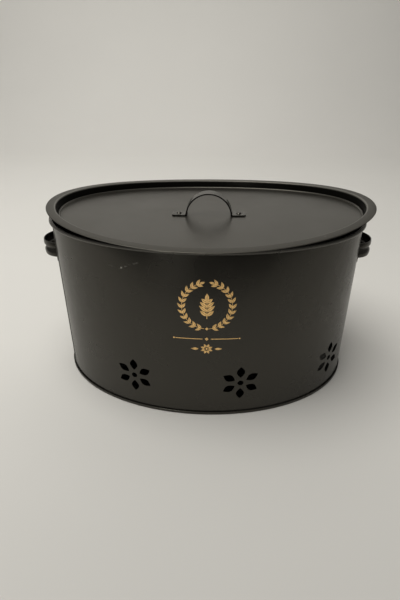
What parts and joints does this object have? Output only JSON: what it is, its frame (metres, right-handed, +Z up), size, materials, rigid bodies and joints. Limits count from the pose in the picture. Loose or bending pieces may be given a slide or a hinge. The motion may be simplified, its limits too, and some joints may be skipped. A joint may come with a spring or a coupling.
{
  "type": "oval storage bin",
  "caption": "Oval painted-steel kitchen storage bin with flower-shaped vents low in the wall, loop side handles and a lift-off tray lid with an arched strap handle.",
  "frame": {"origin": "on the surface the bin stands on, under the centre of its bounding box", "axes": "+X along the long axis of the oval, -Y towards the front, +Z up"},
  "size_m": [0.411, 0.2756, 0.2316],
  "materials": {
    "body_paint": "satin black powder coat",
    "lid_paint": "satin black powder coat",
    "handle_paint": "satin black powder coat"
  },
  "bodies": {
    "tub": {"tub_wall": "body_paint", "base_pan": "body_paint", "side_handle_left": "handle_paint", "side_handle_right": "handle_paint", "side_handle_rivets": "handle_paint"},
    "lid": {"lid_pan": "lid_paint", "lid_handle": "handle_paint", "lid_handle_rivets": "handle_paint"}
  },
  "joints": [
    {"name": "lid_lift", "type": "slide", "parent": "tub", "child": "lid", "axis": [0, 0, 1], "range_m": [0, 0.25]}
  ]
}
